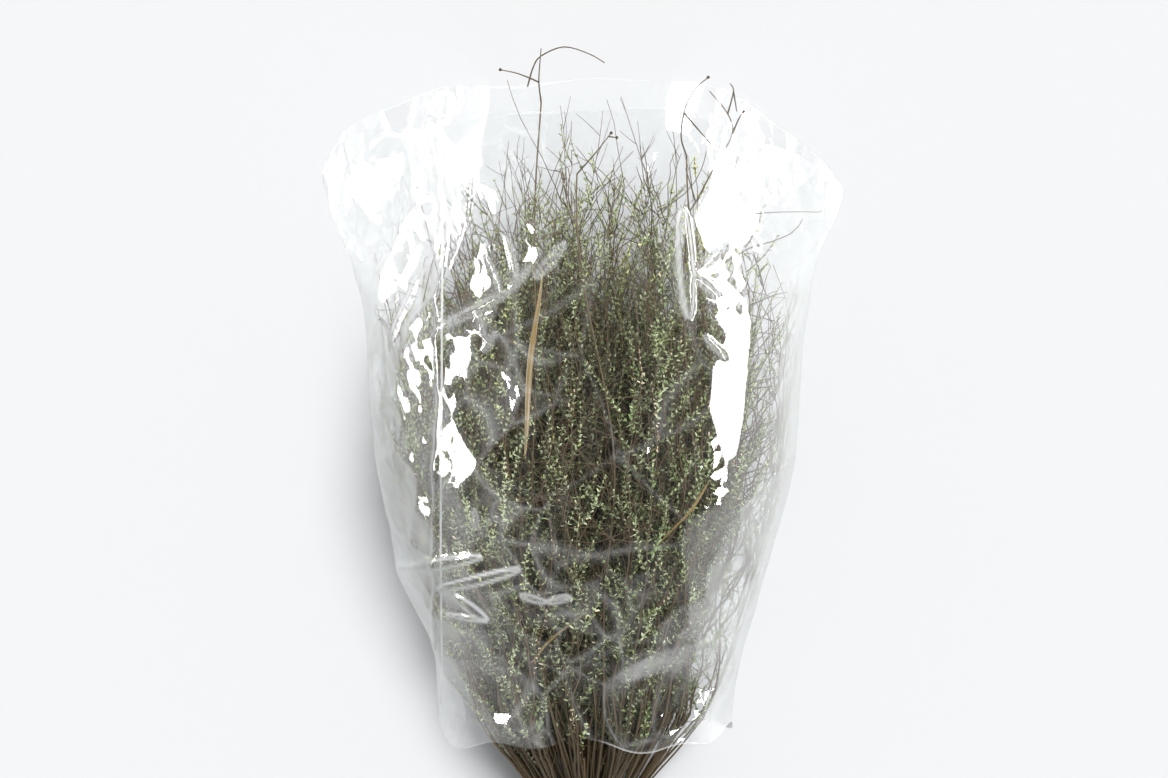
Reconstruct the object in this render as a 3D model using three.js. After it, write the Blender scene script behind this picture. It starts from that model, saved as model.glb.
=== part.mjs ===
/**
 * A bundle of thyme lying on its side in a clear film sleeve.
 *
 * The bundle lies along Y with the cut ends towards -Y, the shoot tips towards +Y and +Z up.
 * Lengths are millimetres. A station is a distance along the bundle, measured from the cut ends.
 * Every shoot keeps its own place in the bundle's oval section from the tie to the crown, so the
 * shoots open out together above the tie and never run through each other.
 */
import * as THREE from 'three';
import { ParametricGeometry } from 'three/addons/geometries/ParametricGeometry.js';

// Driving dimensions.
const TOTAL_LENGTH = 812;
const CROWN_STATION = 738;
const CROWN_ROUNDING = 165;
const LENGTH_SPREAD = 60;
const HEIGHT_OVER_WIDTH = 0.72;
const FLOOR_GAP = 2.6;

// Half the bundle's width at each station.
const halfWidth = outline([
  [0, 43], [58, 32.5], [70, 32.5], [82, 32.5], [140, 72], [200, 113], [260, 129], [320, 148],
  [420, 183], [540, 186], [625, 182], [713, 170], [812, 165],
]);

// Shoots: a sunflower pattern fills the oval section evenly.
const SHOOT_COUNT = 50;
const SHOOT_SIDES = 6;
const GOLDEN_ANGLE = Math.PI * (3 - Math.sqrt(5));
const OUTER_RING = 0.905;
const SPRIG_RADIUS_SHARE = 0.092;
const STATIONS = [0, 30, 58, 82, 110, 140, 170, 200, 260, 320, 380, 440, 500, 560, 620, 680, 735, 775];
const TIP_LENGTH = 26;

// Dry twigs take the place of these shoots, and reach these stations.
const DRY_TWIGS = new Map([[27, 812], [29, 785], [37, 772], [32, 742]]);
const DRY_TWIG_RADIUS = 1.8;

// Elastic tie round the stems.
const TIE = { station: 70, width: 7, thickness: 1.8, clearance: 0.9, sides: 40 };

// Dried grass blades that lie on top of the sprigs, under the film.
const STRAW_BLADES = [
  { from: 458, to: 622, angles: [1.87, 1.79], width: 8 },
  { from: 378, to: 436, angles: [1.19, 0.95], width: 4 },
  { from: 262, to: 316, angles: [1.98, 1.57], width: 4 },
];
const BLADE_THICKNESS = 1;
const BLADE_LIFT = 3;

// Film sleeve: half width and half height of its section at each station.
const FILM = {
  cornerStation: 690,
  lipStation: 779,
  thickness: 0.8,
  bottomFlattening: 1.06,
  sides: 40,
};
const filmHalfWidth = outline([
  [186, 130], [260, 143], [320, 160], [420, 194], [540, 198], [610, 206], [690, 233], [779, 236],
]);
const filmHalfHeight = outline([
  [186, 86], [260, 99], [320, 113], [420, 138], [540, 141], [610, 137], [690, 129], [779, 126],
]);
const FILM_STATIONS = [186, 222, 260, 320, 380, 440, 500, 560, 620, 655];

const materials = {
  sprig: new THREE.MeshStandardMaterial({ color: 0x7d8468, roughness: 0.85, metalness: 0 }),
  twig: new THREE.MeshStandardMaterial({ color: 0x8a6449, roughness: 0.8, metalness: 0 }),
  straw: new THREE.MeshStandardMaterial({ color: 0xb08f55, roughness: 0.75, metalness: 0 }),
  tie: new THREE.MeshStandardMaterial({ color: 0xb9a077, roughness: 0.7, metalness: 0 }),
  film: new THREE.MeshStandardMaterial({
    color: 0xf4f7f8,
    roughness: 0.08,
    metalness: 0,
    transparent: true,
    opacity: 0.2,
  }),
};

/** A smooth curve of value against station through the given points. */
function outline(points) {
  const stations = points.map(([station]) => station);
  const values = points.map(([, value]) => value);
  const curve = new THREE.CubicInterpolant(stations, values, 1);
  return (station) => curve.evaluate(station)[0];
}

/** Half the bundle's height at a station. */
function halfHeight(station) {
  return HEIGHT_OVER_WIDTH * halfWidth(station);
}

/** Height of the bundle's middle: its underside runs straight, just above the surface. */
function axisHeight(station) {
  return FLOOR_GAP + halfHeight(station);
}

/** Y in the part's frame for a station. */
function yAt(station) {
  return station - TOTAL_LENGTH / 2;
}

/** Moves each vertex of a geometry whose Y is a station, and refreshes its normals. */
function reshape(geometry, place) {
  const positions = geometry.attributes.position;
  const vertex = new THREE.Vector3();
  for (let i = 0; i < positions.count; i += 1) {
    place(vertex.fromBufferAttribute(positions, i));
    positions.setXYZ(i, vertex.x, vertex.y, vertex.z);
  }
  geometry.computeVertexNormals();
  return geometry;
}

/** A shoot's place in the section: x across and y up, both as shares of the half sizes. */
function sectionPlace(index) {
  const radius = OUTER_RING * Math.sqrt((index + 0.5) / SHOOT_COUNT);
  const angle = index * GOLDEN_ANGLE;
  return new THREE.Vector2(radius * Math.cos(angle), radius * Math.sin(angle));
}

/** One shoot: a slim body with a cut base and a closed tip, following its place in the section. */
function shootGeometry(place, length, radiusAt) {
  const rings = STATIONS.filter((station) => station < length - TIP_LENGTH);
  const tipRing = length - TIP_LENGTH / 3;
  const profile = [
    new THREE.Vector2(0, 0),
    ...rings.map((station) => new THREE.Vector2(radiusAt(station), station)),
    new THREE.Vector2(radiusAt(tipRing) * 0.45, tipRing),
    new THREE.Vector2(0, length),
  ];
  return reshape(new THREE.LatheGeometry(profile, SHOOT_SIDES), (vertex) => {
    const station = vertex.y;
    vertex.x += place.x * halfWidth(station);
    vertex.z += place.y * halfHeight(station) + axisHeight(station);
    vertex.y = yAt(station);
  });
}

/** Radius of a leafy sprig: a bare stem at the tie, opening out as its side shoots spread. */
function sprigRadius(station) {
  return SPRIG_RADIUS_SHARE * halfHeight(station);
}

/** How far a sprig reaches: the crown is round, and no two sprigs are equally long. */
function sprigLength(place, index) {
  const spread = LENGTH_SPREAD * THREE.MathUtils.seededRandom(index + 1);
  return CROWN_STATION - CROWN_ROUNDING * place.lengthSq() - spread;
}

/** Adds a named mesh to the part. */
function addPiece(part, name, geometry, material) {
  const mesh = new THREE.Mesh(geometry, material);
  mesh.name = name;
  part.add(mesh);
}

/** All the shoots: leafy sprigs, and bare dry twigs that stand above the crown. */
function addShoots(part) {
  let sprigs = 0;
  let twigs = 0;
  for (let index = 0; index < SHOOT_COUNT; index += 1) {
    const place = sectionPlace(index);
    if (DRY_TWIGS.has(index)) {
      twigs += 1;
      const geometry = shootGeometry(place, DRY_TWIGS.get(index), () => DRY_TWIG_RADIUS);
      addPiece(part, `dry_twig_${twigs}`, geometry, materials.twig);
    } else {
      sprigs += 1;
      const geometry = shootGeometry(place, sprigLength(place, index), sprigRadius);
      addPiece(part, `sprig_${String(sprigs).padStart(2, '0')}`, geometry, materials.sprig);
    }
  }
}

/** A blade of dried grass, pointed at both ends, draped over the top of the sprigs. */
function bladeGeometry({ from, to, angles, width }) {
  const steps = Math.ceil((to - from) / 14);
  const blade = new THREE.BoxGeometry(width, to - from, BLADE_THICKNESS, 1, steps, 1);
  blade.translate(0, (from + to) / 2, 0);
  return reshape(blade, (vertex) => {
    const station = vertex.y;
    const along = (station - from) / (to - from);
    const taper = 0.25 + 0.75 * Math.sin(Math.PI * along);
    const angle = THREE.MathUtils.lerp(angles[0], angles[1], along)
      - (vertex.x * taper) / halfWidth(station);
    const lift = BLADE_LIFT + vertex.z;
    vertex.x = (halfWidth(station) + lift) * Math.cos(angle);
    vertex.z = (halfHeight(station) + lift) * Math.sin(angle) + axisHeight(station);
    vertex.y = yAt(station);
  });
}

/** A closed band or tube wall: a closed loop of (station, depth) corners carried round. */
function wallGeometry(loop, sides, pointAt) {
  return new ParametricGeometry((u, v, target) => {
    const corner = loop[Math.round(v * loop.length) % loop.length];
    pointAt(-u * 2 * Math.PI, corner, target);
  }, sides, loop.length);
}

/** The elastic tie, drawn tight round the stems. */
function tieGeometry() {
  const inside = TIE.clearance;
  const outside = TIE.clearance + TIE.thickness;
  const half = TIE.width / 2;
  const loop = [[-half, outside], [half, outside], [half, inside], [-half, inside]];
  return wallGeometry(loop, TIE.sides, (angle, [along, out], target) => {
    const across = halfWidth(TIE.station) + out;
    const up = halfHeight(TIE.station) + out;
    target.set(
      across * Math.cos(angle),
      yAt(TIE.station + along),
      up * Math.sin(angle) + axisHeight(TIE.station),
    );
  });
}

/** Where the film's mouth ends: it reaches furthest in the middle and least at its two corners. */
function mouthStation(angle) {
  return THREE.MathUtils.lerp(FILM.cornerStation, FILM.lipStation, Math.abs(Math.sin(angle)));
}

/** The film sleeve: an open oval tube with a flat underside, flared at its mouth. */
function sleeveGeometry() {
  const outer = [...FILM_STATIONS, 'mouth'].map((station) => [station, 0]);
  const inner = outer.map(([station]) => [station, FILM.thickness]).reverse();
  return wallGeometry([...outer, ...inner], FILM.sides, (angle, [ring, depth], target) => {
    const station = ring === 'mouth' ? mouthStation(angle) : ring;
    const across = filmHalfWidth(station) - depth;
    const up = FILM.bottomFlattening * filmHalfHeight(station) - depth;
    target.set(
      across * Math.cos(angle),
      yAt(station),
      Math.max(filmHalfHeight(station) + up * Math.sin(angle), depth),
    );
  });
}

const part = new THREE.Group();
addShoots(part);
STRAW_BLADES.forEach((blade, index) => {
  addPiece(part, `straw_blade_${index + 1}`, bladeGeometry(blade), materials.straw);
});
addPiece(part, 'elastic_tie', tieGeometry(), materials.tie);
addPiece(part, 'film_sleeve', sleeveGeometry(), materials.film);

export default part;
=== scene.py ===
"""A bundle of thyme lying on its side in a clear, crinkled film sleeve.

The bundle lies along Y: cut ends towards -Y, shoot tips towards +Y, +Z up. All lengths are metres.
"""

import logging
import math
from dataclasses import dataclass, field
from enum import Enum
from typing import Any

import bmesh
import bpy
import numpy as np
from mathutils import Matrix, Vector


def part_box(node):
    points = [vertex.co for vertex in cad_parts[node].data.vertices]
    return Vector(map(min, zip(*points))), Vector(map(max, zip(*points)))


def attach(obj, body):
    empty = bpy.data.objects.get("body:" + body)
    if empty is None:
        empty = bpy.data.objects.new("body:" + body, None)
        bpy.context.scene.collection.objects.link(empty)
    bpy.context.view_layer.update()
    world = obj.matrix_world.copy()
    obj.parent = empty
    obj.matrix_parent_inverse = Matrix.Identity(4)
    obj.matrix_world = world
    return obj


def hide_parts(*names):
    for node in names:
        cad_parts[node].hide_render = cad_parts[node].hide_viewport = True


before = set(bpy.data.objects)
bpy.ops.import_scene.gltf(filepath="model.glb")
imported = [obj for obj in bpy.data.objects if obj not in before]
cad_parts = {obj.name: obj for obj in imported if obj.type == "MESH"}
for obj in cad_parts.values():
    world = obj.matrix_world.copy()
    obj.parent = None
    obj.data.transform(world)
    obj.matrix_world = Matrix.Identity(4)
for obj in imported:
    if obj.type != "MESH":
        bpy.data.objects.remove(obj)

logging.basicConfig(level=logging.INFO, format="%(message)s")
log = logging.getLogger("thyme_bundle")

MM = 0.001
MAP = "OFBake"
CELLS = 16
GOLDEN_ANGLE = math.pi * (3 - math.sqrt(5))
SEAM_X = -129 * MM
SEAM_SWAY = 2 * MM
SEAM_WAVE = 9.0
STEM_GAP = 10 * MM
LEAF_GAP = 9 * MM


class Bark(Enum):
    """The rows of the colour map that stems take their bark from."""

    WOODY = 0
    BROWN = 1
    GREEN = 2
    RED = 3


class LeafKind(Enum):
    """The rows of the colour map that leaves take their colour from: first row and row count."""

    THYME = (4, 10)
    CREAM = (14, 1)
    DEAD = (15, 1)


# ---------------------------------------------------------------------------------------------
# Finishes


class Shader:
    """The node tree of a material or of the surround, with short calls for adding and joining nodes."""

    def __init__(self, owner: bpy.types.ID | str, output: str = "OutputMaterial") -> None:
        """Empties the node tree.

        Args:
            owner: What the tree belongs to, or the name of a new material.
            output: The kind of its last node.
        """
        self.owner = bpy.data.materials.new(owner) if isinstance(owner, str) else owner
        self.owner.use_nodes = True
        self.tree = self.owner.node_tree
        self.tree.nodes.clear()
        self.output = self.node(output)

    def node(self, kind: str, inputs: dict | None = None, **settings: Any) -> bpy.types.Node:
        """Adds a node.

        Args:
            kind: The node type's name without its ShaderNode prefix.
            inputs: Socket name or number to a value, or to a socket to link from.
            **settings: The node's own properties.

        Returns:
            The node.
        """
        made = self.tree.nodes.new("ShaderNode" + kind)
        for key, value in settings.items():
            setattr(made, key, value)
        for key, value in (inputs or {}).items():
            if isinstance(value, bpy.types.NodeSocket):
                self.tree.links.new(value, made.inputs[key])
            else:
                made.inputs[key].default_value = value
        return made

    def math(self, operation: str, *values: Any) -> bpy.types.NodeSocket:
        """Adds a Math node.

        Args:
            operation: The node's operation.
            *values: Its numbers or sockets, in order.

        Returns:
            The result's socket.
        """
        return self.node("Math", dict(enumerate(values)), operation=operation).outputs[0]

    def spread(self, value: Any, low: float, high: float, start: float, end: float) -> bpy.types.NodeSocket:
        """Adds a Map Range node, which holds its result between start and end.

        Args:
            value: The socket that drives it.
            low: The value that gives start.
            high: The value that gives end.
            start: The result at low.
            end: The result at high.

        Returns:
            The result's socket.
        """
        return self.node("MapRange", {0: value, 1: low, 2: high, 3: start, 4: end}).outputs[0]

    def brighten(self, colour: bpy.types.NodeSocket, level: bpy.types.NodeSocket) -> bpy.types.NodeSocket:
        """Multiplies a colour by a grey level.

        Args:
            colour: The colour's socket.
            level: The level's socket.

        Returns:
            The colour's socket.
        """
        grey = self.node("CombineXYZ", dict.fromkeys(range(3), level)).outputs[0]
        return self.mix(1.0, colour, grey, "MULTIPLY")

    def ramp(self, factor: bpy.types.NodeSocket, stops: list, blend: str = "LINEAR") -> bpy.types.NodeSocket:
        """Adds a colour ramp.

        Args:
            factor: The socket that drives it.
            stops: (position, (r, g, b)) pairs.
            blend: The ramp's interpolation.

        Returns:
            The colour's socket.
        """
        made = self.node("ValToRGB", {0: factor})
        made.color_ramp.interpolation = blend
        elements = made.color_ramp.elements
        while len(elements) < len(stops):
            elements.new(0.5)
        for element, (position, colour) in zip(elements, stops):
            element.position = position
            element.color = (*colour, 1)
        return made.outputs[0]

    def mix(self, factor: Any, a: Any, b: Any, blend: str = "MIX") -> bpy.types.NodeSocket:
        """Mixes two colours.

        Args:
            factor: Number or socket.
            a: First colour or socket.
            b: Second colour or socket.
            blend: The blend type.

        Returns:
            The colour's socket.
        """
        made = self.node("Mix", {0: factor}, data_type="RGBA", blend_type=blend)
        for slot, value in ((6, a), (7, b)):
            if isinstance(value, bpy.types.NodeSocket):
                self.tree.links.new(value, made.inputs[slot])
            else:
                made.inputs[slot].default_value = (*value, 1)
        return made.outputs[2]

    def finish(self, surface: bpy.types.NodeSocket) -> bpy.types.ID:
        """Joins the surface to the output.

        Args:
            surface: The shader's socket.

        Returns:
            What the tree belongs to.
        """
        self.tree.links.new(surface, self.output.inputs["Surface"])
        return self.owner


@dataclass(frozen=True)
class LeafFinish:
    """Small downy thyme leaves, from deep green through silvery grey-green to yellow-green."""

    name: str = "thyme_leaf"
    greens: tuple = (
        (0.0, (0.085, 0.125, 0.040)),
        (0.25, (0.180, 0.250, 0.085)),
        (0.5, (0.330, 0.395, 0.205)),
        (0.72, (0.500, 0.550, 0.380)),
        (0.86, (0.420, 0.510, 0.160)),
        (1.0, (0.600, 0.600, 0.260)),
    )
    cream: tuple = (0.70, 0.60, 0.42)
    dead: tuple = (0.20, 0.11, 0.05)
    roughness: float = 0.6

    def build(self) -> bpy.types.Material:
        """Makes the material. It reads only the colour map, whose every cell is one leaf.

        Returns:
            The material.
        """
        shader = Shader(self.name)
        place = shader.node("UVMap", uv_map=MAP).outputs[0]
        parts = shader.node("SeparateXYZ", {0: place})
        across = shader.math("MULTIPLY", parts.outputs[0], CELLS)
        up = shader.math("MULTIPLY", parts.outputs[1], CELLS)
        column = shader.math("FLOOR", across)
        row = shader.math("FLOOR", up)
        side = shader.math("ABSOLUTE", shader.math("SUBTRACT", shader.math("FRACT", across), 0.5))
        along = shader.math("FRACT", up)

        first, count = LeafKind.THYME.value
        shade = shader.math("DIVIDE", shader.math("SUBTRACT", row, first), count - 1)
        colour = shader.ramp(shade, list(self.greens))
        colour = shader.mix(shader.math("COMPARE", row, LeafKind.CREAM.value[0], 0.5), colour, self.cream)
        colour = shader.mix(shader.math("COMPARE", row, LeafKind.DEAD.value[0], 0.5), colour, self.dead)

        # Each leaf's column on the map sets its brightness: a random tone, and darker for leaves deep in the
        # bundle as painted shade.
        bright = shader.math("MULTIPLY_ADD", column, 1.12 / CELLS, 0.24)
        mottle = shader.node("TexNoise", {"Vector": place, "Scale": 140.0, "Detail": 3.0}).outputs[0]
        bright = shader.math("MULTIPLY", bright, shader.math("MULTIPLY_ADD", mottle, 0.5, 0.75))
        bright = shader.math("MULTIPLY", bright, shader.math("MULTIPLY_ADD", along, 0.3, 0.85))
        rib = shader.math("LESS_THAN", side, 0.05)
        bright = shader.math("MULTIPLY", bright, shader.math("MULTIPLY_ADD", rib, 0.35, 1.0))
        colour = shader.brighten(colour, bright)
        surface = shader.node(
            "BsdfPrincipled",
            {"Base Color": colour, "Roughness": self.roughness, "Specular IOR Level": 0.35},
        )
        return shader.finish(surface.outputs[0])


@dataclass(frozen=True)
class BarkFinish:
    """Thin woody stems: grey-brown and flaking at the base, olive or reddish towards the tips."""

    name: str = "thyme_bark"
    kinds: tuple = (
        (0.090, 0.066, 0.036),
        (0.215, 0.180, 0.085),
        (0.300, 0.345, 0.115),
        (0.400, 0.240, 0.150),
    )
    tips: tuple = (
        (0.150, 0.110, 0.060),
        (0.500, 0.450, 0.230),
        (0.560, 0.600, 0.280),
        (0.600, 0.400, 0.290),
    )
    roughness: float = 0.7

    def build(self) -> bpy.types.Material:
        """Makes the material. Along the map each stem runs from its base to its tip.

        Returns:
            The material.
        """
        shader = Shader(self.name)
        place = shader.node("UVMap", uv_map=MAP).outputs[0]
        parts = shader.node("SeparateXYZ", {0: place})
        row = shader.math("FLOOR", shader.math("MULTIPLY", parts.outputs[1], CELLS))
        kind = shader.math("DIVIDE", row, len(self.kinds))
        stops = [i / len(self.kinds) for i in range(len(self.kinds))]
        base = shader.ramp(kind, list(zip(stops, self.kinds)), "CONSTANT")
        tip = shader.ramp(kind, list(zip(stops, self.tips)), "CONSTANT")
        colour = shader.mix(parts.outputs[0], base, tip)
        grain = shader.node("Mapping", {"Vector": place, "Scale": (30.0, 400.0, 1.0)}).outputs[0]
        streak = shader.node("TexNoise", {"Vector": grain, "Scale": 1.0, "Detail": 4.0}).outputs[0]
        bright = shader.math("MULTIPLY_ADD", streak, 1.1, 0.45)
        colour = shader.brighten(colour, bright)
        surface = shader.node(
            "BsdfPrincipled",
            {"Base Color": colour, "Roughness": self.roughness, "Specular IOR Level": 0.3},
        )
        return shader.finish(surface.outputs[0])


@dataclass(frozen=True)
class StrawFinish:
    """Dried grass: golden, ribbed along its length, with a slight gloss."""

    name: str = "dry_straw"
    dark: tuple = (0.15, 0.090, 0.028)
    light: tuple = (0.32, 0.230, 0.085)
    roughness: float = 0.45

    def build(self) -> bpy.types.Material:
        """Makes the material.

        Returns:
            The material.
        """
        shader = Shader(self.name)
        place = shader.node("UVMap", uv_map=MAP).outputs[0]
        ribs = shader.node("Mapping", {"Vector": place, "Scale": (26.0, 1.5, 1.0)}).outputs[0]
        streak = shader.node("TexNoise", {"Vector": ribs, "Scale": 1.0, "Detail": 5.0}).outputs[0]
        spots = shader.node("TexNoise", {"Vector": place, "Scale": 9.0, "Detail": 4.0}).outputs[0]
        mixed = shader.math("MULTIPLY_ADD", spots, 0.5, shader.math("MULTIPLY", streak, 0.55))
        colour = shader.ramp(mixed, [(0.34, self.dark), (0.66, self.light)])
        bump = shader.node("Bump", {"Height": streak, "Strength": 0.5, "Distance": 0.0003})
        surface = shader.node(
            "BsdfPrincipled",
            {"Base Color": colour, "Roughness": self.roughness, "Normal": bump.outputs[0]},
        )
        return shader.finish(surface.outputs[0])


@dataclass(frozen=True)
class ElasticFinish:
    """Natural rubber band: matt, tan, slightly dusty."""

    name: str = "elastic"

    def build(self) -> bpy.types.Material:
        """Makes the material.

        Returns:
            The material.
        """
        shader = Shader(self.name)
        place = shader.node("TexCoord").outputs["Object"]
        dust = shader.node("TexNoise", {"Vector": place, "Scale": 260.0, "Detail": 4.0}).outputs[0]
        colour = shader.ramp(dust, [(0.35, (0.42, 0.27, 0.11)), (0.7, (0.60, 0.43, 0.21))])
        bump = shader.node("Bump", {"Height": dust, "Strength": 0.3, "Distance": 0.0002})
        surface = shader.node(
            "BsdfPrincipled",
            {"Base Color": colour, "Roughness": 0.6, "Normal": bump.outputs[0]},
        )
        return shader.finish(surface.outputs[0])


@dataclass(frozen=True)
class FilmFinish:
    """Thin clear film: see-through, with a mirror-like gloss on both faces and fine crinkles."""

    name: str = "clear_film"
    gloss_ior: float = 1.55
    roughness: float = 0.04
    tint: tuple = (0.978, 0.984, 0.984)
    haze: tuple = (0.93, 0.95, 0.95)
    # How pale folds and pleat edges are painted: stress whitening of the film with a painted highlight.
    fold_whitening_and_glint: float = 0.7
    seam_above: float = 0.12

    def build(self) -> bpy.types.Material:
        """Makes the material: clear film mixed with gloss and a pale haze by how it faces.

        Returns:
            The material.
        """
        shader = Shader(self.name)
        place = shader.node("TexCoord").outputs["Object"]
        warp = shader.node("TexNoise", {"Vector": place, "Scale": 9.0, "Detail": 2.0}).outputs["Color"]
        bent = shader.node("VectorMath", {0: warp, 2: place}, operation="MULTIPLY_ADD")
        bent.inputs[1].default_value = (0.05, 0.05, 0.05)
        cells = shader.node("TexVoronoi", {"Vector": bent.outputs[0], "Scale": 75.0}, feature="F1")
        region = shader.node("TexNoise", {"Vector": place, "Scale": 11.0, "Detail": 1.0}).outputs[0]
        strong = shader.spread(region, 0.48, 0.62, 0.0, 1.0)
        bump = shader.node("Bump", {"Height": cells.outputs["Distance"], "Distance": MM, "Strength": strong})
        clear = shader.node("BsdfTransparent", {"Color": (*self.tint, 1)})
        gloss = shader.node(
            "BsdfAnisotropic",
            {"Color": (1, 1, 1, 1), "Roughness": self.roughness, "Normal": bump.outputs[0]},
        )
        inside = shader.node("NewGeometry").outputs["Backfacing"]
        ior = shader.spread(inside, 0.0, 1.0, self.gloss_ior, 1 / self.gloss_ior)
        facing = shader.node("Fresnel", {"IOR": ior, "Normal": bump.outputs[0]})
        mixed = shader.node("MixShader", {0: facing.outputs[0], 1: clear.outputs[0], 2: gloss.outputs[0]})
        edge = shader.node("LayerWeight", {"Blend": 0.5}).outputs["Facing"]
        amount = shader.node(
            "MapRange",
            {0: edge, 1: 0.14, 2: 0.76, 3: 0.004, 4: 0.55},
            interpolation_type="SMOOTHSTEP",
        ).outputs[0]
        amount = shader.math("MAXIMUM", amount, self.seam(shader, place))
        # A patchy pale line along the mouth and foot edges: a painted highlight for the glints along the
        # film's cut edge.
        along = shader.node("SeparateXYZ", {0: shader.node("UVMap", uv_map=MAP).outputs[0]}).outputs[1]
        middle = shader.math("ABSOLUTE", shader.math("SUBTRACT", along, 0.5))
        painted_rim_glint = shader.spread(middle, 0.4962, 0.498, 0.0, 0.3)
        painted_rim_glint = shader.math("MULTIPLY", painted_rim_glint, shader.spread(region, 0.4, 0.6, 0.0, 1.0))
        amount = shader.math("MAXIMUM", amount, painted_rim_glint)
        # Folds and pleat edges are painted pale: stress whitening with a painted highlight.
        fold = shader.node("Attribute", attribute_name="crease").outputs["Fac"]
        amount = shader.math("MAXIMUM", amount, shader.math("MULTIPLY", fold, self.fold_whitening_and_glint))
        # One pale colour serves the haze at grazing angles, the seam, and the painted highlight on rims and
        # folds.
        pale = shader.node("BsdfDiffuse", {"Color": (*self.haze, 1)})
        hazed = shader.node("MixShader", {0: amount, 1: mixed.outputs[0], 2: pale.outputs[0]})
        return shader.finish(hazed.outputs[0])

    def seam(self, shader: Shader, place: bpy.types.NodeSocket) -> bpy.types.NodeSocket:
        """The welded seam: a thin whiter line that runs the length of the upper side.

        Args:
            shader: The material.
            place: Where the shader is read.

        Returns:
            How white the seam makes the film.
        """
        parts = shader.node("SeparateXYZ", {0: place}).outputs
        sway = shader.math("SINE", shader.math("MULTIPLY", parts[1], SEAM_WAVE))
        middle = shader.math("MULTIPLY_ADD", sway, SEAM_SWAY, SEAM_X)
        gap = shader.math("ABSOLUTE", shader.math("SUBTRACT", parts[0], middle))
        line = shader.spread(gap, 1.4 * MM, 0.7 * MM, 0.0, 0.5)
        return shader.math("MULTIPLY", line, shader.math("GREATER_THAN", parts[2], self.seam_above))


@dataclass(frozen=True)
class FloorFinish:
    """Plain pale floor."""

    name: str = "pale_floor"
    colour: tuple = (0.615, 0.62, 0.63)

    def build(self) -> bpy.types.Material:
        """Makes the material.

        Returns:
            The material.
        """
        shader = Shader(self.name)
        surface = shader.node(
            "BsdfPrincipled",
            {"Base Color": (*self.colour, 1), "Roughness": 0.9, "Specular IOR Level": 0.1},
        )
        return shader.finish(surface.outputs[0])


# ---------------------------------------------------------------------------------------------
# Shared helpers


def node_points(name: str) -> np.ndarray:
    """Vertices of a CAD node.

    Args:
        name: The node.

    Returns:
        An (n, 3) array of places.
    """
    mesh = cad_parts[name].data
    places = np.empty(len(mesh.vertices) * 3, np.float32)
    mesh.vertices.foreach_get("co", places)
    return places.reshape(-1, 3).astype(float)


def add_object(name: str, mesh: bpy.types.Mesh, *materials: bpy.types.Material) -> bpy.types.Object:
    """Puts a mesh in the scene.

    Args:
        name: The object's name.
        mesh: The mesh.
        *materials: Its materials, in slot order.

    Returns:
        The object.
    """
    mesh.name = name
    for material in materials:
        mesh.materials.append(material)
    made = bpy.data.objects.new(name, mesh)
    bpy.context.scene.collection.objects.link(made)
    return made


def seat(piece: bpy.types.Object, slot: str, *nodes: str) -> None:
    """Makes a piece ride on the part's only body and stand for CAD nodes, and logs its face count.

    Args:
        piece: The piece.
        slot: Not used.
        *nodes: The CAD nodes that it stands for.
    """
    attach(piece, "root")
    if nodes:
        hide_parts(*nodes)
    log.info("%s: %d faces", piece.name, len(piece.data.polygons))


def drawn(curve: bpy.types.Curve) -> bpy.types.Mesh:
    """Turns a curve into the mesh that it draws, and removes the curve.

    Args:
        curve: The curve.

    Returns:
        The mesh.
    """
    holder = bpy.data.objects.new(curve.name, curve)
    bpy.context.scene.collection.objects.link(holder)
    bpy.context.view_layer.update()
    mesh = bpy.data.meshes.new_from_object(holder.evaluated_get(bpy.context.evaluated_depsgraph_get()))
    bpy.data.objects.remove(holder)
    bpy.data.curves.remove(curve)
    return mesh


def unit(vectors: np.ndarray) -> np.ndarray:
    """Scales vectors to length one.

    Args:
        vectors: An (n, 3) array.

    Returns:
        The unit vectors.
    """
    return vectors / np.maximum(np.linalg.norm(vectors, axis=1, keepdims=True), 1e-12)


def smooth(x: np.ndarray, low: float, high: float) -> np.ndarray:
    """A smooth step from 0 at low to 1 at high.

    Args:
        x: Where to read it.
        low: Where it starts.
        high: Where it ends.

    Returns:
        The step's value.
    """
    t = np.clip((x - low) / (high - low), 0, 1)
    return t * t * (3 - 2 * t)


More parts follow.
